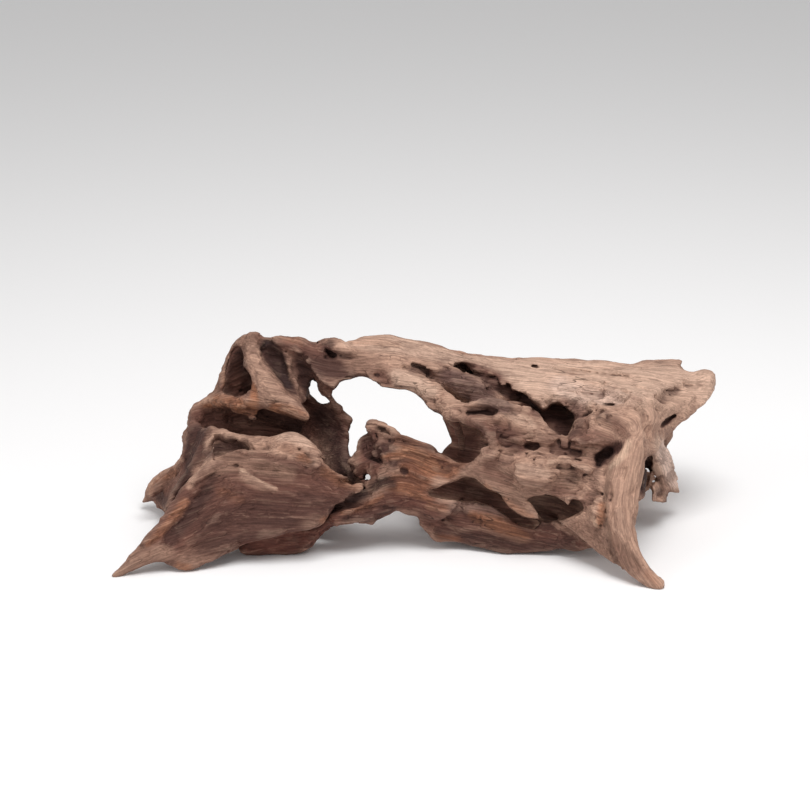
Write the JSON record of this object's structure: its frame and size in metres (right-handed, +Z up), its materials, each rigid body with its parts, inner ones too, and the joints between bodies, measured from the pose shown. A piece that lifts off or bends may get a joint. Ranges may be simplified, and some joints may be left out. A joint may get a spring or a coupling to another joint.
{
  "type": "honeycomb driftwood",
  "caption": "Weathered honeycomb wood: a low, hollowed branch with a pointed foot, a horn, a fan-shaped sheet and an open window; it stands on a floor.",
  "frame": {"origin": "middle of the footprint of the bounding box, on the floor", "axes": "+X from the pointed left foot to the right horn, along the wood; +Y away from the side seen in the picture; +Z up"},
  "size_m": [0.4507, 0.2082, 0.1449],
  "materials": {
    "weathered_wood": "dry, matt, weathered grain"
  },
  "bodies": {
    "root": {"honeycomb_wood": "weathered_wood"}
  },
  "joints": []
}
